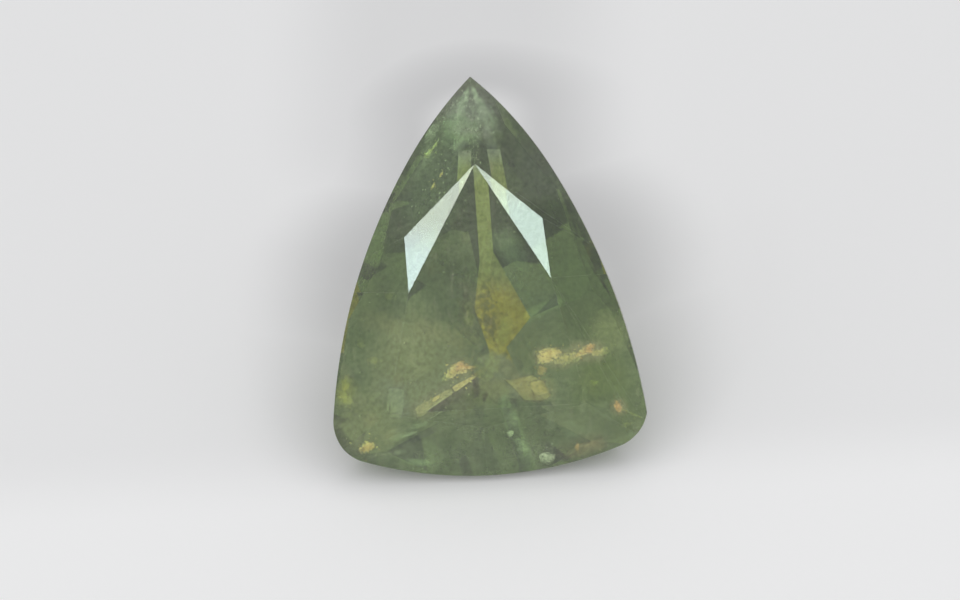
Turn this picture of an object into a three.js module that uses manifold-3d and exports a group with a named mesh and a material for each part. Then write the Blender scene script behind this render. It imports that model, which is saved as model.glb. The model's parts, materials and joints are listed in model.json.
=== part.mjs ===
// A cut alexandrite: a triangle with bulging sides, a sharp tip and a five-sided table.
//
// It is made the way a cutter works. A block with the outline of the girdle is ground flat,
// one facet at a time: the crown slopes down from the table to the girdle, and the pavilion
// narrows below the girdle to a point, the culet. The stone can't stand on its culet, so it
// lies on the broad pavilion facet under its blunt end, with the tip raised.
//
// Lengths are millimetres and angles are degrees. The cutting frame has the tip of the outline
// at x = 0, y = 0, the blunt end at negative y, and z = 0 halfway up the girdle, under the table.

import * as THREE from 'three';
import { mergeVertices } from 'three/addons/utils/BufferGeometryUtils.js';
import Module from 'manifold-3d';

// Corners of the outline, seen from above the table
const TIP = [0, 0];
const LEFT_BEND = [-1.75, -2.08];
const LEFT_CORNER = [-4.22, -9.03];
const LEFT_HEEL = [-3.55, -10.22];
const RIGHT_HEEL = [3.58, -10.16];
const RIGHT_CORNER = [4.27, -9.33];
const RIGHT_BEND = [1.99, -2.46];
const CORNER_RADIUS = 1.15;
const ARC_STEPS = 24;

// The bulging sides of the outline, anticlockwise from the tip
const LEFT_TIP_SIDE = { from: TIP, to: LEFT_BEND, radius: 10.7 };
const LEFT_SIDE = { from: LEFT_BEND, to: LEFT_CORNER, radius: 16 };
const BLUNT_END = { from: LEFT_HEEL, to: RIGHT_HEEL, radius: 10.7 };
const RIGHT_SIDE = { from: RIGHT_CORNER, to: RIGHT_BEND, radius: 18 };
const RIGHT_TIP_SIDE = { from: RIGHT_BEND, to: TIP, radius: 10.2 };

// Heights
const GIRDLE_HEIGHT = 0.32;
const CROWN_HEIGHT = 0.6;
const PAVILION_DEPTH = 3.93;
const GIRDLE_TOP = GIRDLE_HEIGHT / 2;
const GIRDLE_FOOT = -GIRDLE_HEIGHT / 2;
const TABLE = GIRDLE_TOP + CROWN_HEIGHT;
const CULET = [0.08, -7.83];

// Corners of the table
const APEX = [0.03, -2.36];
const LEFT_SHOULDER = [-1.95, -5.74];
const RIGHT_SHOULDER = [1.91, -5.54];
const LEFT_FOOT = [-2.7, -8.98];
const RIGHT_FOOT = [2.7, -8.98];

// Where crown facets reach the girdle
const LEFT_JUNCTION = [-3.07, -4.71];
const RIGHT_JUNCTION = [3.08, -4.76];
const LEFT_FLANK = [-3.96, -7.31];
const RIGHT_FLANK = [3.93, -7.31];
const BLUNT_MIDDLE = [-0.14, -10.79];

// Outer corners of the three star facets that border the table
const LEFT_STAR = [-2.01, -4.24];
const RIGHT_STAR = [1.76, -3.93];
const BLUNT_STAR = [-0.14, -9.49];
const BLUNT_STAR_DROP = 0.1;

// Pavilion facets round the culet: the heading that each faces, its angle from the girdle's
// plane, and how far above the culet it passes, or below it where it ends before the culet
const BLUNT_ANGLE = 53;
const PAVILION = [
  { name: 'left main', faces: 172.5, angle: 43, raised: 0 },
  { name: 'right main', faces: -5, angle: 43, raised: 0 },
  { name: 'blunt main', faces: 270, angle: BLUNT_ANGLE, raised: 0 },
  { name: 'left culet facet', faces: 112.2, angle: 20.3, raised: 0 },
  { name: 'right culet facet', faces: 34.5, angle: 30.2, raised: 0 },
  { name: 'left upper main', faces: 148.2, angle: 40.6, raised: -0.42 },
  { name: 'right upper main', faces: 31.8, angle: 40.6, raised: -0.42 },
  { name: 'keel', faces: 90, angle: 24.3, raised: -0.28 },
  { name: 'left corner facet', faces: 205, angle: 35, raised: 0.05 },
  { name: 'right corner facet', faces: 332, angle: 29, raised: 0.24 },
];

// The facet under the tip, where the keel ends
const TIP_FACET = { faces: 90, angle: 37 };

// Steep break facets just under the girdle, touching it along each side
const BREAKS = [
  { side: LEFT_SIDE, angle: 60, faces: [170, 158] },
  { side: LEFT_TIP_SIDE, angle: 60, faces: [146] },
  { side: RIGHT_SIDE, angle: 60, faces: [10, 22] },
  { side: RIGHT_TIP_SIDE, angle: 60, faces: [34] },
  { side: BLUNT_END, angle: 64, faces: [257, 270, 283] },
];

// The grinding block is larger than the stone, and the rough block deeper than the pavilion
const GRINDER = 40;
const SPARE = 1;
const MERGE_WITHIN = 1e-6;
const HEART = new THREE.Vector3(0, -6.5, 0);
const BODY_COLOUR = 0x7d8f72;

const wasm = await Module();
wasm.setup();

// A closed geometry as a solid that can be cut
function solidFrom(geometry) {
  geometry.deleteAttribute('normal');
  geometry.deleteAttribute('uv');
  const merged = mergeVertices(geometry, MERGE_WITHIN);
  return new wasm.Manifold(new wasm.Mesh({
    numProp: 3,
    vertProperties: new Float32Array(merged.attributes.position.array),
    triVerts: new Uint32Array(merged.index.array),
  }));
}

// A cut solid as a geometry again
function geometryFrom(solid) {
  const { vertProperties, triVerts } = solid.getMesh();
  const geometry = new THREE.BufferGeometry();
  geometry.setAttribute('position', new THREE.BufferAttribute(vertProperties, 3));
  geometry.setIndex(new THREE.BufferAttribute(triVerts, 1));
  return geometry;
}

function point([x, y], height) {
  return new THREE.Vector3(x, y, height);
}

// The centre of a side's arc, which bulges to the right of the way from one end to the other
function arcCentre({ from, to, radius }) {
  const start = new THREE.Vector2(...from);
  const chord = new THREE.Vector2(...to).sub(start);
  const inward = new THREE.Vector2(-chord.y, chord.x).normalize();
  const sink = Math.sqrt(radius ** 2 - chord.lengthSq() / 4);
  return start.addScaledVector(chord, 0.5).addScaledVector(inward, sink);
}

function addArc(shape, side) {
  const centre = arcCentre(side);
  const startAngle = new THREE.Vector2(...side.from).sub(centre).angle();
  const endAngle = new THREE.Vector2(...side.to).sub(centre).angle();
  shape.absarc(centre.x, centre.y, side.radius, startAngle, endAngle, false);
}

// The girdle's outline, anticlockwise from the tip
function girdleOutline() {
  const shape = new THREE.Shape();
  addArc(shape, LEFT_TIP_SIDE);
  addArc(shape, LEFT_SIDE);
  addArc(shape, { from: LEFT_CORNER, to: LEFT_HEEL, radius: CORNER_RADIUS });
  addArc(shape, BLUNT_END);
  addArc(shape, { from: RIGHT_HEEL, to: RIGHT_CORNER, radius: CORNER_RADIUS });
  addArc(shape, RIGHT_SIDE);
  addArc(shape, RIGHT_TIP_SIDE);
  return shape;
}

// The block before cutting: the outline carried from below the culet up to the table
function roughBlock() {
  const bottom = GIRDLE_FOOT - PAVILION_DEPTH - SPARE;
  const block = new THREE.ExtrudeGeometry(girdleOutline(), {
    depth: TABLE - bottom,
    curveSegments: ARC_STEPS,
    bevelEnabled: false,
  });
  block.translate(0, 0, bottom);
  return solidFrom(block);
}

// The plane through three points, facing out of the stone
function facetThrough(a, b, c) {
  const facet = new THREE.Plane().setFromCoplanarPoints(a, b, c);
  return facet.distanceToPoint(HEART) > 0 ? facet.negate() : facet;
}

// The downward plane through a point that faces a heading, at an angle from the girdle's plane
function facetFacing(faces, angle, through) {
  const heading = THREE.MathUtils.degToRad(faces);
  const lean = THREE.MathUtils.degToRad(angle);
  const outward = new THREE.Vector3(
    Math.sin(lean) * Math.cos(heading),
    Math.sin(lean) * Math.sin(heading),
    -Math.cos(lean),
  );
  return new THREE.Plane().setFromNormalAndCoplanarPoint(outward, through);
}

// The point of a facet over a place in the plan
function onFacet({ normal, constant }, place) {
  const height = -(constant + normal.x * place[0] + normal.y * place[1]) / normal.z;
  return point(place, height);
}

// The facets between the table and the girdle
function crownFacets() {
  const apex = point(APEX, TABLE);
  const leftShoulder = point(LEFT_SHOULDER, TABLE);
  const rightShoulder = point(RIGHT_SHOULDER, TABLE);
  const leftFoot = point(LEFT_FOOT, TABLE);
  const rightFoot = point(RIGHT_FOOT, TABLE);
  const tip = point(TIP, GIRDLE_TOP);
  const leftJunction = point(LEFT_JUNCTION, GIRDLE_TOP);
  const rightJunction = point(RIGHT_JUNCTION, GIRDLE_TOP);
  const bluntMiddle = point(BLUNT_MIDDLE, GIRDLE_TOP);
  const bluntStar = point(BLUNT_STAR, TABLE - BLUNT_STAR_DROP);
  const leftTipFacet = facetThrough(apex, tip, leftJunction);
  const rightTipFacet = facetThrough(apex, tip, rightJunction);
  const leftStar = onFacet(leftTipFacet, LEFT_STAR);
  const rightStar = onFacet(rightTipFacet, RIGHT_STAR);
  return [
    leftTipFacet,
    rightTipFacet,
    facetThrough(apex, leftShoulder, leftStar),
    facetThrough(apex, rightShoulder, rightStar),
    facetThrough(leftShoulder, leftStar, leftJunction),
    facetThrough(rightShoulder, rightStar, rightJunction),
    facetThrough(leftShoulder, leftFoot, point(LEFT_FLANK, GIRDLE_TOP)),
    facetThrough(rightShoulder, rightFoot, point(RIGHT_FLANK, GIRDLE_TOP)),
    facetThrough(leftFoot, rightFoot, bluntStar),
    facetThrough(leftFoot, bluntStar, bluntMiddle),
    facetThrough(rightFoot, bluntStar, bluntMiddle),
  ];
}

// The facets that run from the girdle's foot towards the culet
function pavilionFacets() {
  const aroundCulet = PAVILION.map(({ faces, angle, raised }) => (
    facetFacing(faces, angle, point(CULET, GIRDLE_FOOT - PAVILION_DEPTH + raised))
  ));
  const underTip = facetFacing(TIP_FACET.faces, TIP_FACET.angle, point(TIP, GIRDLE_FOOT));
  return [...aroundCulet, underTip];
}

// The steep facets between the pavilion and the girdle
function breakFacets() {
  return BREAKS.flatMap(({ side, angle, faces }) => {
    const centre = arcCentre(side);
    return faces.map((heading) => {
      const turn = THREE.MathUtils.degToRad(heading);
      const x = centre.x + side.radius * Math.cos(turn);
      const y = centre.y + side.radius * Math.sin(turn);
      return facetFacing(heading, angle, point([x, y], GIRDLE_FOOT));
    });
  });
}

// A block that takes away everything outside a facet's plane
function grinder(facet) {
  const block = new THREE.BoxGeometry(GRINDER, GRINDER, GRINDER);
  const facing = new THREE.Quaternion().setFromUnitVectors(new THREE.Vector3(0, 0, 1), facet.normal);
  const middle = facet.normal.clone().multiplyScalar(GRINDER / 2 - facet.constant);
  block.applyQuaternion(facing);
  block.translate(middle.x, middle.y, middle.z);
  return solidFrom(block);
}

function cutStone() {
  const facets = [...crownFacets(), ...pavilionFacets(), ...breakFacets()];
  const cut = facets.reduce((stone, facet) => stone.subtract(grinder(facet)), roughBlock());
  const polish = new THREE.MeshStandardMaterial({ color: BODY_COLOUR, roughness: 0.05, metalness: 0 });
  const gemstone = new THREE.Mesh(geometryFrom(cut), polish);
  gemstone.name = 'gemstone';
  return gemstone;
}

// The stone laid on its blunt main facet, with the origin under the middle of its box
const lying = new THREE.Group();
lying.rotation.x = THREE.MathUtils.degToRad(BLUNT_ANGLE);
lying.add(cutStone());

const alexandrite = new THREE.Group();
alexandrite.add(lying);
const reach = new THREE.Box3().setFromObject(alexandrite, true);
const middle = reach.getCenter(new THREE.Vector3());
lying.position.set(-middle.x, -middle.y, -reach.min.z);

export default alexandrite;
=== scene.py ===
"""A cut alexandrite that lies on one facet, seen straight down onto its table.

Lengths are metres and angles are degrees. Places on and in the stone are given in the cutting
frame: x to the right, y towards the tip and z out of the table, from the tip of the outline at
half the girdle's height.
"""

import json
import logging
import math
from dataclasses import dataclass
from enum import Enum

import bmesh
import bpy
import numpy as np
from mathutils import Matrix, Vector

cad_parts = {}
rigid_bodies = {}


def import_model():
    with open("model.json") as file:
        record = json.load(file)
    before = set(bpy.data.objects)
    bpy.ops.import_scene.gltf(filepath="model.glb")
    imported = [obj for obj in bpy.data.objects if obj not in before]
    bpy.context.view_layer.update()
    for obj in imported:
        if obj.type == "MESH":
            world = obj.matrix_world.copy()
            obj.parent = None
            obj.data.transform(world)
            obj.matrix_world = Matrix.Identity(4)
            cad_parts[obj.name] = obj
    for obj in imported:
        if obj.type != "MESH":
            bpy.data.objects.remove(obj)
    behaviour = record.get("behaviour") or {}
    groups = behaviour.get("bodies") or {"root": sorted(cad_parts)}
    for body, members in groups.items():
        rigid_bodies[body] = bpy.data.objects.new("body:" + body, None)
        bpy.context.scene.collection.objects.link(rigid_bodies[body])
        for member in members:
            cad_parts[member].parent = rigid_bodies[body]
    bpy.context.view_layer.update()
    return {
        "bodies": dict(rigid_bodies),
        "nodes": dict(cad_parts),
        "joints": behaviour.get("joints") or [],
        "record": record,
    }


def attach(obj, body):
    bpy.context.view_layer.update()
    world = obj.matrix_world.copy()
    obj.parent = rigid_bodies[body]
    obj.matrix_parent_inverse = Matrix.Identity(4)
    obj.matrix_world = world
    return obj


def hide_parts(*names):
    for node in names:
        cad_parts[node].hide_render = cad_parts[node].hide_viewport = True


MM = 0.001
BODY = "root"
NODE = "gemstone"
CLOUD_DETAIL = 4.0
CLOUD_ROUGHNESS = 0.6
EDGE_DETAIL = 3.0
HALF_TURN = 180
log = logging.getLogger("alexandrite")

Colour = tuple[float, float, float]
Place = tuple[float, float, float]
Range = tuple[float, float]
Input = float | tuple | bpy.types.NodeSocket
BLACK = (0.0, 0.0, 0.0)
WHITE = (1.0, 1.0, 1.0)


class CuttingFrame:
    """The frame in which the stone was cut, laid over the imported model."""

    HALF_GIRDLE = 0.16 * MM

    def __init__(self, frame: dict) -> None:
        """Finds the frame's axes and origin.

        The table's mount gives z, x stays level, and y completes them. The stone's highest point
        is the tip at the girdle's top, which places the origin.
        """
        mounts = {mount["name"]: mount for mount in frame["record"]["mounts"]}
        self.out = unit(np.array(mounts["table"]["axis"], float))
        self.right = np.array([1.0, 0.0, 0.0])
        self.tipward = np.cross(self.out, self.right)
        corners = vertices_of(frame["nodes"][NODE].data)
        tip = corners[np.argmax(corners[:, 2])]
        self.origin = tip - self.direction((0.0, 0.0, self.HALF_GIRDLE))

    def direction(self, vector: Place) -> np.ndarray:
        """Returns a vector of the cutting frame in the world."""
        return vector[0] * self.right + vector[1] * self.tipward + vector[2] * self.out

    def place(self, points: np.ndarray) -> np.ndarray:
        """Returns points of the cutting frame, shape (..., 3), in the world."""
        axes = np.stack([self.right, self.tipward, self.out])
        return self.origin + np.asarray(points, float) @ axes


def unit(vector: np.ndarray) -> np.ndarray:
    """Returns a vector's direction, at length 1."""
    return vector / np.linalg.norm(vector)


def vertices_of(mesh: bpy.types.Mesh) -> np.ndarray:
    """Reads a mesh's vertices.

    Args:
        mesh: the mesh.

    Returns:
        Their places, shape (n, 3).
    """
    flat = np.empty(len(mesh.vertices) * 3, np.float32)
    mesh.vertices.foreach_get("co", flat)
    return flat.reshape(-1, 3).astype(float)


def new_object(name: str, data: bpy.types.ID) -> bpy.types.Object:
    """Makes an object and links it to the scene.

    Args:
        name: the object's name.
        data: its mesh or its camera data.

    Returns:
        The object.
    """
    made = bpy.data.objects.new(name, data)
    bpy.context.scene.collection.objects.link(made)
    return made


def new_piece(name: str, vertices: np.ndarray, faces: list) -> bpy.types.Object:
    """Makes a mesh object at the origin.

    Args:
        name: the piece's name.
        vertices: places in the world, shape (n, 3).
        faces: tuples of vertex numbers, anticlockwise from outside.

    Returns:
        The object, linked to the scene.
    """
    mesh = bpy.data.meshes.new(name)
    mesh.from_pydata(vertices.tolist(), [], faces)
    mesh.update()
    return new_object(name, mesh)


class Tree:
    """Adds nodes to a node tree and joins them."""

    def __init__(self, tree: bpy.types.NodeTree) -> None:
        """Keeps the tree, which may be a material's or a group's."""
        self.tree = tree

    def add(self, kind: str, inputs: dict | None = None, **settings) -> bpy.types.Node:
        """Adds a node.

        Args:
            kind: the node's Blender type.
            inputs: values or output sockets by the name or number of the input.
            settings: the node's own properties.

        Returns:
            The node.
        """
        node = self.tree.nodes.new(kind)
        for key, value in settings.items():
            setattr(node, key, value)
        self.feed(node, inputs or {})
        return node

    def feed(self, node: bpy.types.Node, inputs: dict) -> None:
        """Sets a node's inputs.

        Args:
            node: the node.
            inputs: values or output sockets by the name or number of the input.
        """
        for key, value in inputs.items():
            if isinstance(value, bpy.types.NodeSocket):
                self.tree.links.new(value, node.inputs[key])
            else:
                node.inputs[key].default_value = value

    def sum(self, operation: str, first: Input, second: Input) -> bpy.types.NodeSocket:
        """Does one sum with two numbers or sockets and returns the result's socket."""
        return self.add("ShaderNodeMath", {0: first, 1: second}, operation=operation).outputs[0]

    def vector(self, operation: str, first: Input, second: Input,
               output: int = 0) -> bpy.types.NodeSocket:
        """Does one sum with two vectors; its output 0 is a vector and 1 is a number."""
        return self.add("ShaderNodeVectorMath", {0: first, 1: second},
                        operation=operation).outputs[output]

    def place(self) -> bpy.types.NodeSocket:
        """Returns the place on the piece."""
        return self.add("ShaderNodeTexCoord").outputs["Object"]

    def rise(self, value: Input, start: Input, end: Input,
             top: float = 1.0) -> bpy.types.NodeSocket:
        """Rises smoothly from 0 where the value is at the start to the top at the end."""
        return self.add("ShaderNodeMapRange",
                        {"Value": value, "From Min": start, "From Max": end, "To Max": top},
                        interpolation_type="SMOOTHSTEP").outputs[0]

    def mix(self, share: Input, first: Input, second: Input,
            blend: str = "MIX") -> bpy.types.NodeSocket:
        """Mixes two colours.

        Args:
            share: how much of the second colour there is, a number or a socket.
            first: a colour or a socket.
            second: a colour or a socket.
            blend: how the second colour meets the first.

        Returns:
            The socket of the mixed colour.
        """
        return self.add("ShaderNodeMix", {0: share, 6: rgba(first), 7: rgba(second)},
                        data_type="RGBA", blend_type=blend).outputs[2]


def in_metres(millimetres: Place) -> Place:
    """Returns a place or a vector in metres."""
    return tuple(value * MM for value in millimetres)


def rgba(colour: Input) -> Input:
    """Returns a colour with full opacity, and a socket as it is."""
    return colour if isinstance(colour, bpy.types.NodeSocket) else (*colour, 1.0)


def new_group(name: str, **inputs) -> tuple[Tree, bpy.types.NodeOutputs]:
    """Starts a shader node group that puts out a mask.

    Args:
        name: the group's name.
        inputs: each input's default, a number or a vector, by its name.

    Returns:
        The group's tree, and its inputs as sockets by name.
    """
    group = bpy.data.node_groups.new(name, "ShaderNodeTree")
    for label, default in inputs.items():
        kind = "NodeSocketVector" if isinstance(default, tuple) else "NodeSocketFloat"
        made = group.interface.new_socket(label, in_out="INPUT", socket_type=kind)
        made.default_value = default
    group.interface.new_socket("Mask", in_out="OUTPUT", socket_type="NodeSocketFloat")
    tree = Tree(group)
    return tree, tree.add("NodeGroupInput").outputs


def cloud_group() -> bpy.types.ShaderNodeTree:
    """Makes the group that clouds a finish: soft noise between two levels, as a mask.

    Returns:
        The group, with inputs Size, Stretch, From, To and Seed, and the output Mask.
    """
    tree, given = new_group("cloud", Size=0.5 * MM, Stretch=(1.0, 1.0, 1.0), From=0.4, To=0.6,
                            Seed=0.0)
    pulled = tree.vector("MULTIPLY", tree.place(), given["Stretch"])
    scale = tree.sum("DIVIDE", 1.0, given["Size"])
    noise = tree.add("ShaderNodeTexNoise",
                     {"Vector": pulled, "W": given["Seed"], "Scale": scale,
                      "Detail": CLOUD_DETAIL, "Roughness": CLOUD_ROUGHNESS},
                     noise_dimensions="4D").outputs[0]
    mask = tree.rise(noise, given["From"], given["To"])
    tree.add("NodeGroupOutput", {"Mask": mask})
    return tree.tree


def zone_group() -> bpy.types.ShaderNodeTree:
    """Makes the group that marks a zone of the stone: 1 near a line, fading to 0.

    The line runs from a start along a vector, and is a point when the vector is zero.

    Returns:
        The group, with inputs Start, Along, Inner, Outer, Ragged and Size, and the output Mask.
        Ragged is how far noise of the given size moves the zone's edge.
    """
    tree, given = new_group("zone", Start=(0.0, 0.0, 0.0), Along=(0.0, 0.0, 0.0),
                            Inner=0.5 * MM, Outer=1.0 * MM, Ragged=0.6 * MM, Size=0.4 * MM)
    place = tree.place()
    along = given["Along"]
    offset = tree.vector("SUBTRACT", place, given["Start"])
    forward = tree.vector("DOT_PRODUCT", offset, along, output=1)
    square = tree.vector("DOT_PRODUCT", along, along, output=1)
    share = tree.add("ShaderNodeMath", {0: forward, 1: square}, operation="DIVIDE",
                     use_clamp=True).outputs[0]
    nearest = tree.add("ShaderNodeVectorMath", {0: along, "Scale": share},
                       operation="SCALE").outputs[0]
    away = tree.vector("DISTANCE", offset, nearest, output=1)
    scale = tree.sum("DIVIDE", 1.0, given["Size"])
    noise = tree.add("ShaderNodeTexNoise",
                     {"Vector": place, "Scale": scale, "Detail": EDGE_DETAIL})
    moved = tree.sum("MULTIPLY", tree.sum("SUBTRACT", noise.outputs[0], 0.5),
                     given["Ragged"])
    mask = tree.rise(tree.sum("ADD", away, moved), given["Outer"], given["Inner"])
    tree.add("NodeGroupOutput", {"Mask": mask})
    return tree.tree


def fade_group() -> bpy.types.ShaderNodeTree:
    """Makes the group that fades along one direction, from 0 to 1.

    Returns:
        The group, with inputs Centre, Direction, From and To, and the output Mask.
    """
    tree, given = new_group("fade", Centre=(0.0, 0.0, 0.0), Direction=(0.0, 0.0, 1.0),
                            From=0.0, To=1.0 * MM)
    away = tree.vector("SUBTRACT", tree.place(), given["Centre"])
    along = tree.vector("DOT_PRODUCT", away, given["Direction"], output=1)
    mask = tree.rise(along, given["From"], given["To"])
    tree.add("NodeGroupOutput", {"Mask": mask})
    return tree.tree


class Effects:
    """The node groups that more than one finish uses."""

    def __init__(self) -> None:
        """Builds each group once."""
        self.cloud = cloud_group()
        self.zone = zone_group()
        self.fade = fade_group()

    def place(self, tree: Tree, group: bpy.types.NodeTree, **inputs) -> bpy.types.NodeSocket:
        """Puts a group into a finish and returns its output.

        Args:
            tree: the finish's tree.
            group: the group.
            inputs: values for the group's inputs by name.

        Returns:
            The socket of the group's mask.
        """
        return tree.add("ShaderNodeGroup", inputs, node_tree=group).outputs["Mask"]

    def clouded(self, tree: Tree, size: float, levels: Range,
                **inputs) -> bpy.types.NodeSocket:
        """Puts the cloud group into a finish and returns its mask.

        Args:
            tree: the finish's tree.
            size: how large the clouds are.
            levels: the noise at which the mask leaves 0, and at which it reaches 1.
            inputs: values for the group's other inputs by name.

        Returns:
            The socket of the mask.
        """
        start, end = levels
        return self.place(tree, self.cloud, Size=size, From=start, To=end, **inputs)


def new_finish(name: str) -> tuple[bpy.types.Material, Tree, bpy.types.Node, bpy.types.Node]:
    """Starts a material.

    Args:
        name: the finish's name.

    Returns:
        The material, its tree, its Principled BSDF and its output node.
    """
    material = bpy.data.materials.new(name)
    material.use_nodes = True
    material.node_tree.nodes.clear()
    tree = Tree(material.node_tree)
    shader = tree.add("ShaderNodeBsdfPrincipled")
    output = tree.add("ShaderNodeOutputMaterial", {"Surface": shader.outputs[0]})
    return material, tree, shader, output


@dataclass(frozen=True)
class Zone:
    """A part of the stone with a colour of its own, round a line in the cutting frame."""

    start: Place
    inner: float
    outer: float
    colour: Colour
    along: Place
    ragged: float


@dataclass(frozen=True)
class Alexandrite:
    """A surface of hazy grey-green chrysoberyl, polished unless it is said to be rough."""

    name: str = "polished_alexandrite"
    index: float = 1.745
    roughness: float = 0.012
    clear_share: float = 0.86
    light: Colour = (0.66, 0.79, 0.49)
    dark: Colour = (0.40, 0.51, 0.29)
    absorbed: Colour = (0.62, 0.70, 0.46)
    absorption: float = 300.0
    cloud_size: float = 1.3 * MM
    cloud_range: Range = (0.38, 0.66)
    wisp_size: float = 0.5 * MM
    wisp_range: Range = (0.52, 0.75)
    wisp_stretch: Place = (3.0, 1.0, 1.0)
    wisp_seed: float = 3.0
    wisp: Colour = (0.74, 0.80, 0.55)
    grain_size: float = 0.12 * MM
    grain_range: Range = (0.38, 0.68)
    grain_depth: float = 0.32
    # A rim colour paints shade on the band at the girdle's height, where the outline looks dark.
    rim: Colour | None = None
    rim_top: Range = (0.22 * MM, 0.17 * MM)
    rim_foot: Range = (-0.20 * MM, -0.17 * MM)
    zones: tuple[Zone, ...] = ()

    def material(self, effects: Effects, cut: CuttingFrame) -> bpy.types.Material:
        """Builds the finish: tinted glass, clouded and grained, with absorption inside.

        Args:
            effects: the shared node groups.
            cut: the cutting frame, in which the zones are given.

        Returns:
            The material.
        """
        material, tree, shader, output = new_finish(self.name)
        cloud = effects.clouded(tree, self.cloud_size, self.cloud_range)
        colour = tree.mix(cloud, self.dark, self.light)
        wisps = effects.clouded(tree, self.wisp_size, self.wisp_range,
                                Stretch=self.wisp_stretch, Seed=self.wisp_seed)
        colour = tree.mix(wisps, colour, self.wisp)
        for zone in self.zones:
            mask = effects.place(tree, effects.zone, Start=tuple(cut.place(zone.start)),
                                 Along=tuple(cut.direction(zone.along)), Inner=zone.inner,
                                 Outer=zone.outer, Ragged=zone.ragged)
            colour = tree.mix(mask, colour, zone.colour)
        grain = effects.clouded(tree, self.grain_size, self.grain_range)
        shade = (1 - self.grain_depth,) * 3
        colour = tree.mix(grain, colour, tree.mix(1.0, colour, shade, "MULTIPLY"))
        # Painted shade: the rim colour over the band at the girdle's height.
        if self.rim:
            below_top, above_foot = (
                effects.place(tree, effects.fade, Centre=tuple(cut.origin),
                              Direction=tuple(cut.out), From=start, To=end)
                for start, end in (self.rim_top, self.rim_foot))
            colour = tree.mix(tree.sum("MULTIPLY", below_top, above_foot), colour, self.rim)
        tree.feed(shader, {"Base Color": colour, "Roughness": self.roughness,
                           "IOR": self.index, "Transmission Weight": self.clear_share})
        volume = tree.add("ShaderNodeVolumeAbsorption",
                          {"Color": rgba(self.absorbed), "Density": self.absorption})
        tree.feed(output, {"Volume": volume.outputs[0]})
        return material


@dataclass
class CutStone:
    """The stone itself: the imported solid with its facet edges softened."""

    polish: Alexandrite
    ground: Alexandrite
    # Finish of the softened edges: pale, painting highlight on them, with a rim of painted shade
    # at the girdle.
    edge_light_and_shade: Alexandrite
    rim_width: float = 0.05 * MM
    rim_segments: int = 2
    upper_edge: float = 0.65
    lower_edge: float = 0.10
    merge_within: float = 0.0005 * MM
    flat_within: float = 0.2
    girdle_lean: float = 1.0

    def whole_facets(self, packed: bpy.types.Mesh, cut: CuttingFrame) -> bpy.types.Mesh:
        """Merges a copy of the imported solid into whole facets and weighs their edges.

        Triangles in one plane become one facet. The upper edge of the girdle gets a bevel of the
        full width, other edges of the crown a share of it and those of the pavilion less, and
        those between two of the girdle's many small upright faces none.

        Args:
            packed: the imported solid's mesh.
            cut: the cutting frame.

        Returns:
            The mesh, whose material number is 1 on the girdle and 0 elsewhere.
        """
        form = bmesh.new()
        form.from_mesh(packed)
        bmesh.ops.remove_doubles(form, verts=form.verts, dist=self.merge_within)
        bmesh.ops.dissolve_limit(form, angle_limit=math.radians(self.flat_within),
                                 verts=form.verts, edges=form.edges, delimit=set())
        softened = form.edges.layers.float.new("bevel_weight_edge")
        upright = math.sin(math.radians(self.girdle_lean))
        for face in form.faces:
            face.material_index = int(abs(face.normal @ to_vector(cut.out)) < upright)
        for edge in form.edges:
            girdle = sum(face.material_index for face in edge.link_faces)
            lies_low = max(face.normal @ to_vector(cut.out) for face in edge.link_faces) < upright
            width = self.lower_edge if lies_low else (self.upper_edge, 1.0, 0.0)[girdle]
            edge[softened] = 0.0 if girdle > 1 else width
        mesh = bpy.data.meshes.new("cut_stone")
        form.to_mesh(mesh)
        form.free()
        return mesh

    def build(self, frame: dict, effects: Effects, cut: CuttingFrame) -> bpy.types.Object:
        """Dresses the stone and softens its edges.

        Args:
            effects: the shared node groups.
            cut: the cutting frame.

        Returns:
            The piece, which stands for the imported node.
        """
        mesh = self.whole_facets(frame["nodes"][NODE].data, cut)
        piece = new_object("cut_stone", mesh)
        for surface in (self.polish, self.ground, self.edge_light_and_shade):
            mesh.materials.append(surface.material(effects, cut))
        bevel = piece.modifiers.new("softened_edges", "BEVEL")
        bevel.width = self.rim_width
        bevel.segments = self.rim_segments
        bevel.limit_method = "WEIGHT"
        bevel.material = len(mesh.materials) - 1
        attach(piece, BODY)
        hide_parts(NODE)
        return piece


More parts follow.
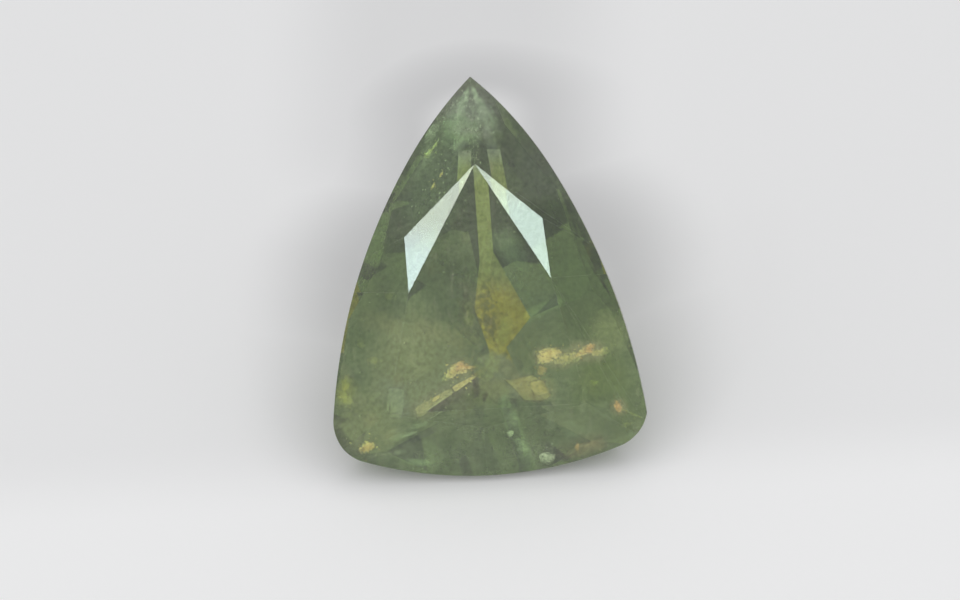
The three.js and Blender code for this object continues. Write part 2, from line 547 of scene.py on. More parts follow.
class Inside:
    """The stone's facets as planes of the cutting frame, to keep inclusions inside."""

    MARGIN = 0.02 * MM
    CROWN_NORMAL = 0.3
    SLIVER = (0.05 * MM)**2
    TINY = 1e-9

    def __init__(self, stone: bpy.types.Object, cut: CuttingFrame) -> None:
        """Takes each facet's outward normal and its distance from the origin.

        Slivers between facets are left out, because their normals are inexact.

        Args:
            stone: the stone, whose mesh has whole facets.
            cut: the cutting frame.
        """
        axes = np.stack([cut.right, cut.tipward, cut.out])
        facets = [facet for facet in stone.data.polygons if facet.area > self.SLIVER]
        self.normals = np.array([facet.normal for facet in facets]) @ axes.T
        centres = (np.array([facet.center for facet in facets]) - cut.origin) @ axes.T
        self.reach = np.sum(self.normals * centres, axis=1)

    def under_crown(self, places: np.ndarray) -> tuple[np.ndarray, np.ndarray]:
        """Turns x, y and the depth under the crown's surface into places.

        Args:
            places: the measures, shape (n, 3).

        Returns:
            The places, and the outward normal of the crown facet over each.
        """
        crown = self.normals[:, 2] > self.CROWN_NORMAL
        normals, reach = self.normals[crown], self.reach[crown]
        heights = (reach - places[:, :2] @ normals[:, :2].T) / normals[:, 2]
        surface = heights.min(axis=1)
        return (np.column_stack([places[:, :2], surface - places[:, 2]]),
                normals[heights.argmin(axis=1)])

    def room(self, place: np.ndarray) -> float:
        """Returns a place's distance from the nearest facet, less the margin."""
        return float((self.reach - self.normals @ place).min()) - self.MARGIN

    def fitted(self, points: np.ndarray, middle: np.ndarray) -> np.ndarray:
        """Draws points towards their middle as far as keeps them all inside.

        Args:
            points: places in the cutting frame, shape (n, 3).
            middle: the place that they are drawn towards.

        Returns:
            The points, shape (n, 3).
        """
        outward = (points - middle) @ self.normals.T
        allowed = self.reach - self.MARGIN - middle @ self.normals.T
        share = np.where(outward > 0, allowed / np.maximum(outward, self.TINY), 1.0)
        return middle + (points - middle) * max(0.0, min(1.0, float(share.min())))


class Stain(Enum):
    """What an inclusion is filled with; the value is its number among a piece's materials."""

    GOLD = 0
    ORANGE = 1
    OLIVE = 2
    PALE = 3
    VEIL = 4
    # A soft dark sheet of painted shade, not an inclusion.
    SHADE = 5
    AMBER = 6
    BROWN = 7
    MILK = 8
    GLINT = 9
    SPARK = 10
    WINDOW = 11
    # A crisp dark sheet of painted shade, not an inclusion.
    CRISP_SHADE = 12
    HAZE = 13
    BAND = 14
    LIME = 15
    RUST = 16
    MIST = 17


@dataclass(frozen=True)
class FissureFinish:
    """The filling of a fissure: iron stain that mirrors the light, or pale healed crystal.
    Two dark fillings are painted shade instead, on sheets put where the stone looks dark.
    """

    name: str
    light: Colour
    dark: Colour
    metal: float = 1.0
    cover: float = 0.92
    patchiness: float = 1.0
    bare_at: float = 0.30
    full_at: float = 1.10
    roughness: float = 0.2
    grain: float = 0.06 * MM
    grain_range: Range = (0.35, 0.65)

    def material(self, effects: Effects) -> bpy.types.Material:
        """Builds the finish: two tones in fine grain, thinning out towards the rim.

        Only the side that faces out of the crown shows, so that the facets behind throw back no
        second image of it.

        Args:
            effects: the shared node groups.

        Returns:
            The material.
        """
        material, tree, shader, _ = new_finish(self.name)
        grain = effects.clouded(tree, self.grain, self.grain_range)
        colour = tree.mix(grain, self.dark, self.light)
        body = tree.add("ShaderNodeAttribute", attribute_name="body").outputs["Fac"]
        patchy = tree.sum("ADD", body, tree.sum("MULTIPLY", grain, self.patchiness))
        cover = tree.rise(patchy, self.bare_at, self.full_at, self.cover)
        behind = tree.add("ShaderNodeNewGeometry").outputs["Backfacing"]
        front = tree.sum("SUBTRACT", 1.0, behind)
        tree.feed(shader, {"Base Color": colour, "Alpha": tree.sum("MULTIPLY", cover, front),
                           "Metallic": self.metal, "Roughness": self.roughness})
        return material


@dataclass(frozen=True)
class Flake:
    """A thin flat inclusion.

    Its place is x, y and the depth under the crown. It lies along the facet over it, but for its
    lean, so that what it throws back leaves through that facet. Its outline is an ellipse at
    power 2 and a diamond at power 1, and it tapers towards its forward end.
    """

    place: Place
    length: float
    width: float
    turn: float = 0.0
    stain: Stain = Stain.GOLD
    lean: float = 6.0
    power: float = 2.0
    ragged: float = 0.16
    taper: float = 0.0


def finish_piece(piece: bpy.types.Object, body: np.ndarray, stains: list[int],
                 fillings: list[bpy.types.Material]) -> None:
    """Gives an inclusion piece its thickness of filling, its materials and its body.

    Args:
        piece: the piece.
        body: each vertex's share of full body, for the finishes to read.
        stains: each face's material number.
        fillings: the materials.
    """
    attribute = piece.data.attributes.new("body", "FLOAT", "POINT")
    attribute.data.foreach_set("value", body.astype(np.float32))
    for filling in fillings:
        piece.data.materials.append(filling)
    piece.data.polygons.foreach_set("material_index", stains)
    piece.data.shade_smooth()
    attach(piece, BODY)


@dataclass
class Fissures:
    """Thin lens-shaped inclusions, joined into one piece."""

    name: str
    flakes: list[Flake]
    seed: int = 4
    half_thickness: float = 0.012 * MM
    rings: int = 6
    spokes: int = 36
    waves: tuple[int, ...] = (2, 3, 5, 8, 11)

    def outline(self, flake: Flake, angle: np.ndarray,
                random: np.random.Generator) -> np.ndarray:
        """Works out how far a flake reaches at each angle about its middle.

        The reach is that of the flake's power: the cosine and the sine, each to that power, add
        up to 1 on the outline. Waves of random height and phase are added to it.

        Args:
            flake: the flake's outline.
            angle: the angles.
            random: where the waves come from.

        Returns:
            The reach at each angle, as a share of the flake's half length and half width.
        """
        powers = np.abs(np.cos(angle))**flake.power + np.abs(np.sin(angle))**flake.power
        reach = powers**(-1 / flake.power)
        for wave in self.waves:
            height = flake.ragged * random.uniform(-1, 1) * 2 / wave
            reach = reach + height * np.cos(wave * angle + random.uniform(0, 2 * math.pi))
        return reach

    @staticmethod
    def axes(flake: Flake, facet: np.ndarray) -> np.ndarray:
        """Works out a flake's own axes from its turn, its lean and the facet over it.

        Args:
            flake: the flake.
            facet: the facet's outward normal.

        Returns:
            The directions of its length, width and thickness, one to a row.
        """
        turn, lean = math.radians(flake.turn), math.radians(flake.lean)
        level = np.array([math.cos(turn), math.sin(turn), 0.0])
        aside = unit(np.cross(facet, level))
        along = np.cross(aside, facet)
        aside = math.cos(lean) * aside + math.sin(lean) * facet
        return np.stack([along, aside, np.cross(along, aside)])

    def lens(self, flake: Flake, facet: np.ndarray,
             random: np.random.Generator) -> tuple[np.ndarray, np.ndarray]:
        """Works out one flake about its own middle.

        At a share s from the middle to the rim, a vertex lies at s times the outline's reach,
        and half the thickness is the full half times the root of 1 - s^2.

        Args:
            flake: the flake's size and outline.
            facet: the outward normal of the facet over it.
            random: where the outline's waves come from.

        Returns:
            The vertices, top and bottom middle first and then ring by ring, and each vertex's
            share of full body: 1 in the middle, 0 at the rim and none on the underside.
        """
        share = np.arange(1, self.rings + 1)[:, None] / self.rings
        angle = np.arange(self.spokes)[None, :] * 2 * math.pi / self.spokes
        reach = self.outline(flake, angle, random)
        ahead = share * reach * np.cos(angle)
        sideways = share * reach * np.sin(angle) * (1 - flake.taper * ahead)
        across = np.stack([ahead * flake.length / 2, sideways * flake.width / 2], axis=-1)
        half = self.half_thickness * np.sqrt(1 - share**2) * np.ones_like(angle)
        top = np.concatenate([across, half[..., None]], axis=-1).reshape(-1, 3)
        under = top[:-self.spokes] * (1, 1, -1)
        middles = np.array([(0, 0, self.half_thickness), (0, 0, -self.half_thickness)])
        body = np.full(2 + len(top) + len(under), -1.0)
        body[0] = 1.0
        body[2:2 + len(top)] = 1 - np.repeat(share[:, 0], self.spokes)
        return np.concatenate([middles, top, under]) @ self.axes(flake, facet), body

    def lens_faces(self) -> list[tuple[int, ...]]:
        """Lists the faces of one flake.

        Returns:
            Tuples of vertex numbers, anticlockwise from outside.
        """
        spokes, rings = self.spokes, self.rings
        upper = [2 + ring * spokes for ring in range(rings)]
        lower = [2 + (rings + ring) * spokes for ring in range(rings - 1)] + upper[-1:]
        faces = []
        for spoke in range(spokes):
            after = (spoke + 1) % spokes
            faces.append((0, upper[0] + spoke, upper[0] + after))
            faces.append((1, lower[0] + after, lower[0] + spoke))
            for inner, outer in zip(upper, upper[1:]):
                faces.append((inner + spoke, outer + spoke, outer + after, inner + after))
            for inner, outer in zip(lower, lower[1:]):
                faces.append((inner + after, outer + after, outer + spoke, inner + spoke))
        return faces

    def build(self, fillings: list[bpy.types.Material], cut: CuttingFrame,
              inside: Inside) -> bpy.types.Object:
        """Joins the flakes into one mesh, each with the filling of its stain.

        A flake whose middle is outside the stone is left out.

        Args:
            fillings: the materials, in the order of Stain.
            cut: the cutting frame.
            inside: the stone's facets.

        Returns:
            The piece.
        """
        random = np.random.default_rng(self.seed)
        middles, facets = inside.under_crown(np.array([flake.place for flake in self.flakes]))
        kept = [row for row in zip(self.flakes, middles, facets) if inside.room(row[1]) > 0]
        faces_of_one = self.lens_faces()
        vertices, bodies, faces, stains = [], [], [], []
        for number, (flake, middle, facet) in enumerate(kept):
            points, body = self.lens(flake, facet, random)
            first = number * len(points)
            faces += [tuple(corner + first for corner in face) for face in faces_of_one]
            stains += [flake.stain.value] * len(faces_of_one)
            vertices.append(inside.fitted(points + middle, middle))
            bodies.append(body)
        piece = new_piece(self.name, cut.place(np.concatenate(vertices)), faces)
        finish_piece(piece, np.concatenate(bodies), stains, fillings)
        return piece


@dataclass(frozen=True)
class Swarm:
    """A swarm of pinpoints: its middle and half-widths in x and y, and how many there are."""

    middle: tuple[float, float]
    reach: tuple[float, float]
    count: int
    smallest: float = 0.025 * MM
    largest: float = 0.08 * MM
    shallowest: float = 0.06 * MM
    deepest: float = 0.5 * MM
    slimness: float = 0.7

    def flakes(self, random: np.random.Generator) -> list[Flake]:
        """Scatters the swarm's tiny mirror-like crystals.

        Args:
            random: where their places, sizes and turns come from.

        Returns:
            The crystals.
        """
        flat = random.uniform(-1, 1, (self.count, 2)) * self.reach + self.middle
        deep = random.uniform(self.shallowest, self.deepest, self.count)
        sizes = random.uniform(self.smallest, self.largest, self.count)
        turns = random.uniform(0, HALF_TURN, self.count)
        return [Flake((x, y, depth), size, self.slimness * size, turn, Stain.SPARK)
                for (x, y), depth, size, turn in zip(flat, deep, sizes, turns)]


def pinpoints(swarms: tuple[Swarm, ...], seed: int = 11) -> list[Flake]:
    """Returns the crystals of all the swarms."""
    random = np.random.default_rng(seed)
    return [flake for swarm in swarms for flake in swarm.flakes(random)]


def to_vector(values: np.ndarray) -> Vector:
    """Returns an array of three numbers as Blender's own vector."""
    return Vector(values.tolist())


@dataclass(frozen=True)
class SoftBox:
    """A small square glowing panel that one facet mirrors into the camera.

    Its tint fades from one end of the facet's mirror image to the other.
    """

    name: str
    facet: Place
    neighbour: Place
    tip_tint: Colour
    blunt_tint: Colour
    radiance: float = 8.7
    width: float = 4.0
    shift: float = 1.2
    distance: float = 0.5
    fade_start: float = 0.4 * MM
    fade_end: float = 3.8 * MM

    @staticmethod
    def mirrored(place: np.ndarray, stone: bpy.types.Object,
                 camera: np.ndarray) -> tuple[np.ndarray, np.ndarray]:
        """Finds the facet nearest to a place.

        Args:
            place: a place in the world.
            stone: the stone.
            camera: the camera's place.

        Returns:
            The facet's centre, and the direction in which it mirrors the camera.
        """
        facets = stone.data.polygons
        facet = min(facets, key=lambda one: np.linalg.norm(np.array(one.center) - place))
        centre, normal = np.array(facet.center), np.array(facet.normal)
        to_camera = unit(camera - centre)
        return centre, 2 * (normal @ to_camera) * normal - to_camera

    def build(self, effects: Effects, cut: CuttingFrame, stone: bpy.types.Object,
              camera: np.ndarray) -> None:
        """Places the panel where the facet mirrors the camera.

        The neighbouring facet leans nearly the same way, so the panel moves a little away from
        where that one mirrors the camera, and it stays dark.

        Args:
            effects: the shared node groups.
            cut: the cutting frame.
            stone: the stone, whose facet nearest to the named place is taken.
            camera: the camera's place.
        """
        centre, towards = self.mirrored(cut.place(self.facet), stone, camera)
        _, astray = self.mirrored(cut.place(self.neighbour), stone, camera)
        image = centre + towards * self.distance
        away = unit(towards - astray)
        towards = unit(towards + math.tan(math.radians(self.shift)) * away)
        middle = centre + towards * self.distance
        level = unit(np.cross(towards, cut.tipward))
        across = np.stack([level, np.cross(towards, level)])
        half = self.distance * math.tan(math.radians(self.width / 2))
        turns = np.array([(-1, -1), (-1, 1), (1, 1), (1, -1)])
        panel = new_piece(self.name, middle + half * turns @ across, [(0, 1, 2, 3)])
        material, tree, shader, _ = new_finish(self.name)
        mask = effects.place(tree, effects.fade, Centre=tuple(image),
                             Direction=tuple(cut.tipward), From=self.fade_start,
                             To=self.fade_end)
        tint = tree.mix(mask, self.blunt_tint, self.tip_tint)
        tree.feed(shader, {"Base Color": rgba(BLACK), "Emission Color": tint,
                           "Emission Strength": self.radiance})
        panel.data.materials.append(material)


@dataclass
class PhotoCamera:
    """The camera of the photograph, looking down onto the table."""

    lens: float = 300.0
    sensor: float = 36.0
    view_width: float = 26.0 * MM
    aim: Place = (-0.08 * MM, -6.05 * MM, 0.0)
    lean_right: float = 3.4
    lean_tipward: float = 1.0
    roll: float = 3.245
    nearest: float = 0.05
    farthest: float = 50.0

    def towards(self, cut: CuttingFrame) -> np.ndarray:
        """Works out where the camera is seen from the stone.

        Args:
            cut: the cutting frame.

        Returns:
            The unit vector from the stone to the camera.
        """
        right = math.tan(math.radians(self.lean_right))
        tipward = math.tan(math.radians(self.lean_tipward))
        return unit(cut.direction((right, tipward, 1.0)))

    def build(self, cut: CuttingFrame) -> np.ndarray:
        """Makes the camera, turned so that the tip leans a little to the left.

        Args:
            cut: the cutting frame.

        Returns:
            The camera's place.
        """
        back = self.towards(cut)
        turn = math.radians(self.roll)
        up = cut.direction((math.sin(turn), math.cos(turn), 0.0))
        right = unit(np.cross(up, back))
        up = np.cross(back, right)
        distance = self.lens / self.sensor * self.view_width
        where = cut.place(self.aim) + back * distance
        data = bpy.data.cameras.new("camera")
        data.lens = self.lens
        data.sensor_width = self.sensor
        data.clip_start = distance * self.nearest
        data.clip_end = distance * self.farthest
        camera = new_object("camera", data)
        pose = np.eye(4)
        pose[:3, :4] = np.column_stack([right, up, back, where])
        camera.matrix_world = Matrix(pose.tolist())
        bpy.context.scene.camera = camera
        return where


@dataclass
class Studio:
    """A plain pale floor under even light, with painted shadow and painted light along lines."""

    # The first lines are of painted shadow round the stone, the second of painted light under and
    # in front of it.
    shades: tuple[tuple, ...]
    painted_light: tuple[tuple, ...]
    floor_colour: Colour = (0.80, 0.80, 0.805)
    # The floor's colour where the painted shadow is full.
    shaded_colour: Colour = (0.69, 0.69, 0.694)
    glow: float = 0.165
    shade_front: float = -4.3 * MM
    shade_full: float = -2.7 * MM
    floor_reach: float = 1.5
    floor_roughness: float = 0.9
    floor_gloss: float = 0.1
    gap: float = 0.01 * MM
    sky: Colour = (0.72, 0.72, 0.725)
    bounces: int = 24

    @staticmethod
    def near_line(tree: Tree, effects: Effects, row: tuple) -> bpy.types.NodeSocket:
        """Marks the floor round a line, as strongly as the line's row says.

        Args:
            tree: the floor's finish.
            effects: the shared node groups.
            row: a row of SHADE_LIST or PAINTED_LIGHT_LIST.

        Returns:
            The socket of the mask.
        """
        strength, start, along, inner, outer = row
        mask = effects.place(tree, effects.zone, Start=in_metres(start),
                             Along=in_metres(along), Inner=inner * MM, Outer=outer * MM,
                             Ragged=0.0)
        return tree.sum("MULTIPLY", mask, strength)

    def lay_floor(self, effects: Effects) -> None:
        """Makes the floor.

        It glows a little, for the light that it scatters inside. Round the stone a painted shadow
        darkens it and dims that glow. Painted light glows under the stone, for the light that the
        stone passes down, and in a band in front of it.

        Args:
            effects: the shared node groups.
        """
        reach = self.floor_reach
        low = -self.gap
        corners = np.array([(-reach, -reach, low), (reach, -reach, low), (reach, reach, low),
                            (-reach, reach, low)])
        floor = new_piece("floor", corners, [(0, 1, 2, 3)])
        material, tree, shader, _ = new_finish("pale_floor")
        # Painted shadow: it fades in from the front and lies round the stone's lines.
        shade = effects.place(tree, effects.fade, Direction=(0.0, 1.0, 0.0),
                              From=self.shade_front, To=self.shade_full)
        around = 0.0
        for row in self.shades:
            around = tree.sum("MAXIMUM", around, self.near_line(tree, effects, row))
        shade = tree.sum("MULTIPLY", shade, around)
        glow = tree.sum("MULTIPLY", tree.sum("SUBTRACT", 1.0, shade), self.glow)
        # Painted light, added to the glow under the stone and in front of it.
        for row in self.painted_light:
            glow = tree.sum("ADD", glow, self.near_line(tree, effects, row))
        tree.feed(shader, {"Base Color": tree.mix(shade, self.floor_colour, self.shaded_colour),
                           "Roughness": self.floor_roughness,
                           "Specular IOR Level": self.floor_gloss,
                           "Emission Color": tree.mix(glow, BLACK, WHITE),
                           "Emission Strength": 1.0})
        floor.data.materials.append(material)

    def light(self) -> None:
        """Lights the scene evenly from all round, and lets light bounce deep into the stone."""
        scene = bpy.context.scene
        scene.world = bpy.data.worlds.new("studio")
        scene.world.use_nodes = True
        background = scene.world.node_tree.nodes["Background"]
        background.inputs["Color"].default_value = rgba(self.sky)
        scene.view_settings.view_transform = "Standard"
        scene.cycles.max_bounces = self.bounces
        scene.cycles.glossy_bounces = self.bounces
        scene.cycles.transmission_bounces = self.bounces
        scene.cycles.transparent_max_bounces = self.bounces

    def build(self, effects: Effects) -> None:
        """Makes the floor and the light."""
        self.lay_floor(effects)
        self.light()


# Lines on the floor: strength, then in millimetres start, where it runs, inner and outer reach.
# The first list paints shadow round the stone, and the second paints light under and in front of
# it.
SHADE_LIST = (
    (0.72, (-0.2, 1.0, 0.0), (0.0, 1.5, 0.0), 3.4, 7.2),
    (0.95, (-0.4, 5.2, 0.0), (0.0, 1.0, 0.0), 3.1, 7.0),
    (0.82, (-0.5, 8.0, 0.0), (-0.3, 5.5, 0.0), 1.3, 5.2),
    (0.34, (-1.4, 13.0, 0.0), (0.0, 6.0, 0.0), 2.0, 6.0),
)
PAINTED_LIGHT_LIST = (
    (0.06, (-13.0, -7.0, 0.0), (26.0, 0.0, 0.0), 2.5, 6.0),
    (0.14, (-0.2, 1.0, 0.0), (-0.5, 12.0, 0.0), 0.5, 2.0),
    (0.20, (-0.2, 1.0, 0.0), (-0.15, 3.5, 0.0), 1.2, 4.2),
)

POINT = (0, 0, 0)
ZONE_RAGGED = 0.5 * MM
FINE_ZONE_RAGGED = 0.1 * MM

# Zones of colour, in millimetres: where each starts, where it runs, inner and outer reach, colour
ZONE_LIST = (
    ((0.1, -4.2, -2.2), (0.2, -3.0, -1.7), 0.9, 1.6, (0.42, 0.38, 0.03)),
    ((0.3, -7.2, -3.9), POINT, 1.2, 2.0, (0.70, 0.43, 0.0)),
    ((0.1, -4.2, -2.2), POINT, 1.3, 2.1, (0.27, 0.32, 0.03)),
    ((-0.15, -0.8, 0.25), POINT, 0.5, 1.3, (0.95, 1.0, 0.84)),
    ((-0.8, -1.8, 0.5), (-0.5, -1.5, 0.0), 0.4, 1.1, (0.72, 0.96, 0.54)),
    ((1.9, -2.6, 0.3), POINT, 0.4, 1.3, (0.58, 0.68, 0.48)),
    ((-2.4, -4.9, 0.5), POINT, 0.3, 1.2, (0.44, 0.58, 0.29)),
    ((2.0, -4.4, 0.5), (0.9, -1.9, 0.0), 0.7, 1.3, (0.27, 0.37, 0.18)),
    ((1.2, -5.2, 0.76), (0.2, -1.2, 0.0), 0.3, 0.9, (0.38, 0.49, 0.30)),
    ((-3.0, -5.9, 0.4), POINT, 0.4, 1.1, (0.38, 0.48, 0.26)),
    ((-3.85, -8.35, 0.25), POINT, 0.15, 0.5, (0.95, 1.0, 0.35)),
    ((-1.9, -7.6, 0.76), POINT, 0.5, 1.8, (0.88, 0.94, 0.54)),
    ((-2.5, -8.7, 0.7), POINT, 0.3, 0.9, (0.86, 0.94, 0.66)),
    ((-3.3, -9.2, 0.4), POINT, 0.4, 1.3, (0.90, 1.0, 0.54)),
    ((-1.48, -9.22, 0.7), POINT, 0.2, 0.8, (0.68, 0.80, 0.47)),
    ((-2.2, -10.1, 0.3), (0.4, -0.15, 0.0), 0.25, 0.6, (0.80, 1.0, 0.55)),
    ((-0.95, -8.6, 0.76), (1.3, 0.1, 0.0), 0.15, 0.5, (0.76, 0.86, 0.42)),
    ((3.1, -8.4, 0.4), POINT, 0.3, 1.2, (0.42, 0.55, 0.21)),
    ((3.4, -9.4, 0.3), POINT, 0.2, 0.9, (0.42, 0.52, 0.28)),
    ((1.5, -9.6, 0.55), POINT, 0.2, 0.7, (0.45, 0.53, 0.33)),
)
FINE_ZONE_LIST = (
    ((-0.68, -1.32, 0.45), (1.46, -0.09, 0.0), 0.05, 0.3, (0.90, 1.0, 0.75)),
    ((0.5, -8.85, 0.76), (0.17, -0.7, -0.12), 0.08, 0.3, (0.74, 1.0, 0.52)),
    ((0.67, -9.5, 0.66), (0.3, -1.1, -0.42), 0.08, 0.3, (0.74, 1.0, 0.52)),
    ((1.25, -6.56, 0.76), (0.75, 0.34, 0.0), 0.06, 0.22, (0.60, 0.83, 0.44)),
    ((-1.9, -8.45, 0.76), (0.9, 0.35, 0.0), 0.1, 0.5, (0.92, 1.0, 0.60)),
    ((-0.75, -8.8, 0.76), POINT, 0.1, 0.5, (0.86, 0.95, 0.55)),
    ((1.0, -8.45, 0.76), (0.6, -0.1, 0.0), 0.15, 0.45, (0.80, 0.86, 0.50)),
    ((2.05, -10.25, 0.3), (0.8, 0.2, 0.0), 0.15, 0.45, (0.58, 0.60, 0.38)),
    ((3.4, -7.1, 0.4), POINT, 0.2, 0.8, (0.66, 0.77, 0.39)),
    ((3.5, -9.15, 0.35), POINT, 0.1, 0.35, (0.95, 0.85, 0.55)),
    ((-0.25, -1.98, 0.57), POINT, 0.05, 0.35, (0.40, 0.48, 0.34)),
    ((0.52, -2.0, 0.55), POINT, 0.05, 0.35, (0.40, 0.48, 0.34)),
    ((1.6, -7.66, 0.76), (0.5, -0.08, 0.0), 0.1, 0.4, (1.0, 0.95, 0.60)),
    ((2.5, -7.6, 0.7), (0.5, 0.0, -0.2), 0.1, 0.4, (1.0, 0.93, 0.60)),
    ((-0.7, -7.9, 0.76), POINT, 0.1, 0.5, (1.0, 0.95, 0.65)),
    ((-0.5, -8.2, 0.76), (-1.3, -0.7, 0.0), 0.1, 0.4, (1.0, 0.98, 0.66)),
)


def zones(rows: tuple[tuple, ...], ragged: float) -> tuple[Zone, ...]:
    """Turns rows of measures in millimetres into zones.

    Args:
        rows: the rows of ZONE_LIST or FINE_ZONE_LIST.
        ragged: how far noise moves the zones' edges.

    Returns:
        The zones.
    """
    return tuple(Zone(in_metres(start), inner * MM, outer * MM, colour, in_metres(along),
                      ragged)
                 for start, along, inner, outer, colour in rows)


STAINS = (
    FissureFinish("gold_stain", (1.0, 1.0, 0.54), (1.0, 0.82, 0.30)),
    FissureFinish("orange_stain", (1.0, 0.84, 0.44), (1.0, 0.60, 0.22)),
    FissureFinish("olive_stain", (0.92, 0.96, 0.44), (0.68, 0.74, 0.30), cover=0.75,
                  full_at=1.3),
    FissureFinish("pale_healing", (1.0, 1.0, 0.94), (0.80, 0.90, 0.72)),
    FissureFinish("pale_veil", (0.92, 1.0, 0.84), (0.72, 0.84, 0.62), metal=0.6, cover=0.45,
                  patchiness=0.7, bare_at=0.05, full_at=2.0, grain=0.3 * MM),
    # Painted shade: a soft dark sheet.
    FissureFinish("painted_shade_veil", (0.16, 0.19, 0.13), (0.08, 0.10, 0.07), metal=0.0, cover=0.5,
                  patchiness=0.7, bare_at=0.05, full_at=2.0, grain=0.4 * MM),
    FissureFinish("amber_film", (0.97, 0.86, 0.42), (0.83, 0.71, 0.27), cover=0.54,
                  patchiness=0.25, bare_at=0.04, full_at=0.20, grain=0.3 * MM),
    FissureFinish("brown_film", (0.50, 0.36, 0.12), (0.30, 0.22, 0.08), metal=0.0, cover=0.5,
                  full_at=1.6, grain=0.15 * MM),
    FissureFinish("milky_veil", (0.74, 0.98, 0.65), (0.69, 0.93, 0.61), metal=0.8, cover=0.36,
                  patchiness=0.15, bare_at=0.0, full_at=0.9, grain=0.3 * MM),
    FissureFinish("glinting_streak", (1.0, 0.96, 0.50), (0.90, 0.82, 0.34), cover=0.85,
                  patchiness=0.4, bare_at=0.0, full_at=0.45),
    FissureFinish("spark", (1.0, 1.0, 0.94), (0.90, 0.96, 0.80), bare_at=-2.0, full_at=-1.0),
    FissureFinish("pale_film", (0.80, 1.0, 0.72), (0.70, 0.90, 0.64), metal=0.8, cover=0.30,
                  patchiness=0.15, bare_at=0.0, full_at=0.12, grain=0.15 * MM),
    # Painted shade: a crisp dark sheet.
    FissureFinish("painted_shade_film", (0.10, 0.13, 0.08), (0.06, 0.08, 0.05), metal=0.0, cover=0.42,
                  patchiness=0.15, bare_at=0.0, full_at=0.25, grain=0.2 * MM),
    FissureFinish("green_haze", (0.37, 0.40, 0.30), (0.31, 0.33, 0.25), cover=0.85,
                  patchiness=0.15, bare_at=0.0, full_at=0.4, grain=0.2 * MM),
    FissureFinish("olive_film", (0.95, 1.0, 0.50), (0.84, 0.90, 0.44), cover=0.42,
                  patchiness=0.1, bare_at=0.0, full_at=0.12, grain=0.3 * MM),
    FissureFinish("lime_haze", (0.95, 1.0, 0.30), (0.80, 0.86, 0.26), cover=0.30,
                  patchiness=0.7, bare_at=0.05, full_at=1.2, grain=0.15 * MM),
    FissureFinish("rust_haze", (1.0, 0.86, 0.52), (0.72, 0.60, 0.36), cover=0.32,
                  patchiness=0.6, bare_at=0.1, full_at=0.9, grain=0.12 * MM),
    FissureFinish("grey_mist", (0.46, 0.51, 0.43), (0.42, 0.47, 0.39), cover=0.60,
                  patchiness=0.15, bare_at=0.0, full_at=0.7, grain=0.3 * MM),
)

